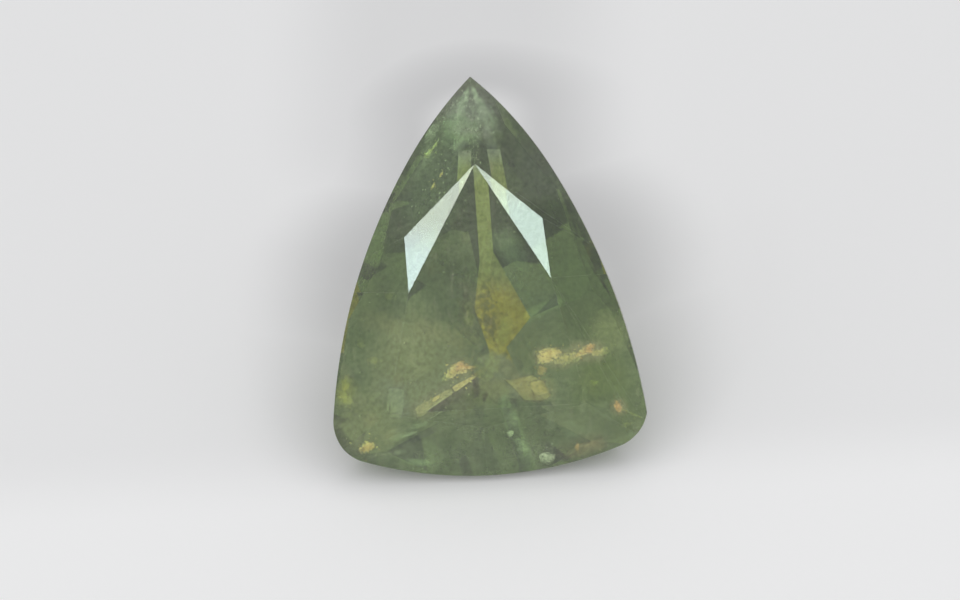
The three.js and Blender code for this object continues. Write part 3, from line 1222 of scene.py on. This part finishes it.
# Flat inclusions, in millimetres: x, y, depth, length, width, turn, filling, power and taper
FLAKE_LIST = (
    (1.70, -7.64, 0.35, 0.92, 0.42, 16, Stain.GOLD),
    (1.84, -7.54, 0.38, 0.60, 0.24, 10, Stain.GOLD),
    (2.20, -7.76, 0.50, 0.80, 0.40, 8, Stain.OLIVE),
    (2.62, -7.60, 0.30, 0.66, 0.24, 26, Stain.GOLD, 2.5, -0.4),
    (2.80, -7.52, 0.28, 0.36, 0.30, 40, Stain.ORANGE),
    (3.06, -7.64, 0.30, 0.54, 0.26, 10, Stain.OLIVE, 3.0, 0.0),
    (1.52, -8.03, 0.45, 0.34, 0.30, 60, Stain.ORANGE),
    (2.86, -8.46, 0.30, 0.34, 0.18, -10, Stain.OLIVE),
    (2.23, -8.39, 0.40, 0.40, 0.20, 0, Stain.VEIL),
    (-0.90, -7.92, 0.50, 0.50, 0.36, 40, Stain.GOLD),
    (-0.68, -7.80, 0.48, 0.40, 0.28, 20, Stain.ORANGE),
    (-0.48, -7.84, 0.50, 0.46, 0.16, -6, Stain.ORANGE),
    (-0.66, -7.94, 0.52, 0.44, 0.20, 10, Stain.GOLD),
    (-1.02, -8.06, 0.52, 0.40, 0.26, 30, Stain.OLIVE),
    (-0.60, -8.26, 0.60, 0.86, 0.15, 28, Stain.GLINT, 3.0, 0.6),
    (-1.44, -8.71, 0.62, 1.30, 0.25, 28, Stain.BAND, 6.0, 0.25),
    (-1.40, -8.64, 0.58, 0.30, 0.12, 28, Stain.GLINT),
    (-2.17, -9.50, 0.50, 0.60, 0.10, 17, Stain.PALE, 2.0, -0.5),
    (1.10, -8.48, 0.60, 1.45, 0.84, -22, Stain.AMBER, 1.1, -0.6),
    (1.40, -8.50, 0.56, 0.62, 0.54, -30, Stain.AMBER, 1.2, 0.0),
    (0.62, -8.80, 0.62, 0.46, 0.16, -62, Stain.BROWN, 1.4, 0.0),
    (-0.28, -6.30, 0.90, 0.60, 1.80, -6, Stain.BROWN),
    (0.20, -8.20, 1.20, 0.90, 0.50, 0, Stain.BROWN),
    (-3.34, -9.86, 0.12, 0.50, 0.36, 20, Stain.ORANGE),
    (-3.30, -9.80, 0.16, 0.36, 0.38, 60, Stain.GOLD),
    (3.48, -9.14, 0.20, 0.26, 0.42, 20, Stain.ORANGE),
    (3.84, -9.34, 0.15, 0.90, 0.10, -24, Stain.OLIVE, 1.6, 0.0),
    (3.70, -9.62, 0.12, 0.34, 0.14, 10, Stain.OLIVE),
    (2.34, -10.15, 0.12, 0.16, 0.32, 0, Stain.ORANGE),
    (2.58, -10.20, 0.16, 1.20, 0.50, 14, Stain.RUST, 2.5, 0.0),
    (2.75, -10.08, 0.16, 0.60, 0.20, 18, Stain.RUST),
    (1.50, -10.40, 0.08, 0.50, 0.42, 20, Stain.PALE),
    (0.55, -9.66, 0.30, 0.20, 0.28, -30, Stain.PALE),
    (-3.84, -8.55, 0.12, 0.40, 0.60, 10, Stain.LIME),
    (-3.82, -8.10, 0.15, 0.40, 0.50, 0, Stain.LIME),
    (-1.24, -2.02, 0.12, 0.36, 0.20, 48, Stain.OLIVE),
    (-1.04, -1.82, 0.12, 0.34, 0.10, 48, Stain.OLIVE),
    (-0.88, -2.62, 0.25, 0.20, 0.08, 62, Stain.ORANGE),
    (-1.12, -2.92, 0.25, 0.26, 0.11, 62, Stain.ORANGE),
    (0.06, -6.35, 0.85, 0.62, 1.60, -4, Stain.BROWN),
    (0.02, -6.10, 0.80, 0.50, 1.00, -4, Stain.BROWN),
    (-0.44, -6.20, 0.50, 0.50, 2.00, -4, Stain.BROWN),
    (0.20, -6.70, 0.85, 0.56, 1.20, -14, Stain.BROWN),
    (-2.47, -5.78, 0.20, 0.34, 0.28, 30, Stain.LIME),
    (-3.33, -7.05, 0.20, 0.24, 0.34, 10, Stain.LIME),
    (-3.02, -7.52, 0.20, 0.42, 0.22, 0, Stain.LIME),
)
BROAD_LIST = (
    (-0.48, -1.15, 0.10, 2.00, 0.96, 66, Stain.MILK),
    (0.36, -1.10, 0.10, 1.80, 0.84, -64, Stain.MILK),
    (-0.10, -1.30, 0.30, 1.60, 1.10, 88, Stain.MILK),
    (-1.35, -2.30, 0.30, 0.50, 1.40, -35, Stain.VEIL),
    (2.62, -8.75, 0.45, 0.30, 1.10, -12, Stain.VEIL),
    (-1.95, -7.30, 0.80, 1.20, 1.90, 5, Stain.VEIL),
    (-2.45, -8.65, 0.60, 0.40, 0.76, -6, Stain.WINDOW, 6.0, 0.0),
    (-2.36, -9.54, 0.46, 0.90, 0.20, 17, Stain.WINDOW, 3.0, 0.4),
    (-1.88, -9.27, 0.50, 0.60, 0.20, 20, Stain.WINDOW),
    (0.34, -8.15, 0.95, 1.70, 1.30, -12, Stain.HAZE, 2.2, 0.0),
    (0.04, -7.82, 0.80, 0.90, 0.90, 0, Stain.LIME),
    (-0.22, -0.72, 0.06, 1.00, 0.42, 62, Stain.MILK),
    (0.20, -0.70, 0.06, 1.00, 0.38, -60, Stain.MILK),
    (-0.10, -0.40, 0.04, 0.60, 0.22, 58, Stain.MILK),
    (0.09, -0.40, 0.04, 0.60, 0.20, -56, Stain.MILK),
    (-1.95, -10.33, 0.14, 1.10, 0.30, -6, Stain.MILK),
    (0.84, -4.70, 0.40, 1.90, 0.90, -54, Stain.MILK),
    (-2.32, -9.34, 0.60, 1.20, 0.50, 24, Stain.VEIL, 1.5, 0.0),
    (-2.75, -10.05, 0.12, 1.30, 0.20, 6, Stain.VEIL),
    (1.65, -9.35, 0.60, 0.34, 1.10, -6, Stain.VEIL),
    (0.62, -9.15, 0.50, 0.90, 0.50, -76, Stain.VEIL),
    (0.86, -10.05, 0.30, 1.20, 0.50, -75, Stain.VEIL),
    (3.05, -9.20, 0.35, 0.90, 0.60, -25, Stain.VEIL),
    # The next five rows are dark sheets of painted shade.
    (-2.35, -4.70, 0.60, 0.80, 1.50, -30, Stain.SHADE),
    (-0.70, -5.60, 0.90, 0.80, 1.40, 10, Stain.SHADE),
    (1.50, -8.98, 0.80, 1.70, 0.36, -4, Stain.SHADE),
    (-2.02, -9.60, 0.50, 1.35, 0.22, 24, Stain.CRISP_SHADE, 3.0, 0.0),
    (2.20, -2.60, 0.35, 0.60, 1.20, 28, Stain.SHADE),
    (-0.37, -6.45, 0.40, 0.36, 0.90, -4, Stain.LIME),
    (0.56, -6.92, 0.60, 0.56, 0.90, -24, Stain.LIME),
    (-1.16, -1.42, 0.06, 1.10, 0.30, 52, Stain.MIST),
    (-1.10, -1.46, 0.08, 0.90, 0.40, 54, Stain.MIST),
    (-0.34, -1.78, 0.10, 0.90, 0.50, 66, Stain.MIST),
    (0.46, -1.76, 0.10, 0.90, 0.50, -64, Stain.MIST),
    (-0.10, -0.50, 0.05, 0.60, 0.18, 86, Stain.MILK),
    (0.10, -0.50, 0.05, 0.60, 0.18, -86, Stain.MILK),
)
FILMS = (Stain.AMBER, Stain.BAND, Stain.WINDOW)
FILM_RAGGED = 0.04
SLENDER = 0.4


def flakes(rows: tuple[tuple, ...]) -> list[Flake]:
    """Turns rows of measures in millimetres into flakes.

    Slender ones have smoother rims, and those of crisp films are smoother still.

    Args:
        rows: the rows of FLAKE_LIST or BROAD_LIST.

    Returns:
        The flakes.
    """
    made = []
    for x, y, deep, length, width, turn, stain, *outline in rows:
        power, taper = outline or (Flake.power, Flake.taper)
        ragged = FILM_RAGGED if stain in FILMS else Flake.ragged
        made.append(Flake(in_metres((x, y, deep)), length * MM, width * MM, turn, stain,
                          power=power, taper=taper,
                          ragged=ragged * min(1.0, width / length / SLENDER)))
    return made


@dataclass(frozen=True)
class Crumbs:
    """Small flakes scattered round each large one, with the same filling.

    The spreads are shares of the large flake's length and width, and the sizes are shares of
    its length or of the widest, whichever is less.
    """

    each: int = 9
    seed: int = 21
    spread_along: float = 0.36
    spread_aside: float = 0.5
    drift: float = 0.03 * MM
    sizes: Range = (0.1, 0.3)
    widest: float = 0.4 * MM
    depths: Range = (0.7, 1.1)
    slimness: Range = (0.3, 0.8)
    most_lean: float = 8.0
    ragged: float = 0.3

    def flakes(self, large: list[Flake]) -> list[Flake]:
        """Scatters the crumbs.

        Args:
            large: the flakes that they lie round.

        Returns:
            The crumbs of all the large flakes.
        """
        random = np.random.default_rng(self.seed)
        made = []
        for flake in large:
            turn = math.radians(flake.turn)
            along = random.normal(0, self.spread_along, self.each) * flake.length
            aside = (random.normal(0, self.spread_aside, self.each) * flake.width
                     + random.normal(0, self.drift, self.each))
            sizes = random.uniform(*self.sizes, self.each) * min(flake.length, self.widest)
            for across, off, size in zip(along, aside, sizes):
                x = flake.place[0] + across * math.cos(turn) - off * math.sin(turn)
                y = flake.place[1] + across * math.sin(turn) + off * math.cos(turn)
                depth = flake.place[2] * random.uniform(*self.depths)
                made.append(Flake((x, y, depth), size, size * random.uniform(*self.slimness),
                                  random.uniform(0, HALF_TURN), flake.stain,
                                  lean=random.uniform(-self.most_lean, self.most_lean),
                                  ragged=self.ragged))
        return made


SWARMS = (
    Swarm((0.0, -5.6 * MM), (4.2 * MM, 5.2 * MM), 240),
    Swarm((-0.4 * MM, -1.0 * MM), (0.6 * MM, 0.6 * MM), 90),
    Swarm((-1.2 * MM, -2.9 * MM), (0.6 * MM, 1.2 * MM), 50),
    Swarm((0.0, -1.9 * MM), (0.12 * MM, 0.5 * MM), 40),
)

SOFT_BOXES = (
    SoftBox("left_soft_box", facet=(-1.31 * MM, -4.11 * MM, 0.85 * MM),
            neighbour=(-2.34 * MM, -4.90 * MM, 0.6 * MM),
            tip_tint=(0.77, 0.85, 0.76), blunt_tint=(0.90, 1.10, 1.13),
            fade_start=-3.0 * MM, fade_end=1.6 * MM),
    SoftBox("right_soft_box", facet=(1.23 * MM, -3.94 * MM, 0.85 * MM),
            neighbour=(2.25 * MM, -4.74 * MM, 0.6 * MM),
            tip_tint=(0.76, 0.87, 0.77), blunt_tint=(0.88, 1.09, 1.00)),
)


def main() -> None:
    """Builds the stone, its light and its camera."""
    logging.basicConfig(level=logging.INFO)
    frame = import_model()
    cut = CuttingFrame(frame)
    camera = PhotoCamera().build(cut)
    effects = Effects()
    ground = Alexandrite("ground_girdle", roughness=0.3, clear_share=0.8,
                         light=(0.50, 0.54, 0.42), dark=(0.50, 0.54, 0.42))
    # The softened edges' finish: pale to paint highlights along the edges, with a grey rim of
    # painted shade at the girdle.
    edge_light_and_shade = Alexandrite("painted_edge_light_and_shade", roughness=0.3, clear_share=0.6, light=(0.95, 1.0, 0.90),
                       rim=(0.50, 0.48, 0.47))
    polish = Alexandrite(zones=(zones(ZONE_LIST, ZONE_RAGGED)
                                + zones(FINE_ZONE_LIST, FINE_ZONE_RAGGED)))
    stone = CutStone(polish, ground, edge_light_and_shade).build(frame, effects, cut)
    inside = Inside(stone, cut)
    fillings = [finish.material(effects) for finish in STAINS]
    stained = flakes(FLAKE_LIST)
    pieces = [stone]
    for inclusions in (Fissures("stained_fissures", stained),
                       Fissures("crumbs", Crumbs().flakes(stained), rings=3, spokes=12),
                       Fissures("veils", flakes(BROAD_LIST), seed=7),
                       Fissures("pinpoints", pinpoints(SWARMS), rings=2, spokes=8)):
        pieces.append(inclusions.build(fillings, cut, inside))
    for piece in pieces:
        log.info("%s: %d faces", piece.name, len(piece.data.polygons))
    Studio(SHADE_LIST, PAINTED_LIGHT_LIST).build(effects)
    for soft_box in SOFT_BOXES:
        soft_box.build(effects, cut, stone, camera)


if __name__ == "__main__":
    main()
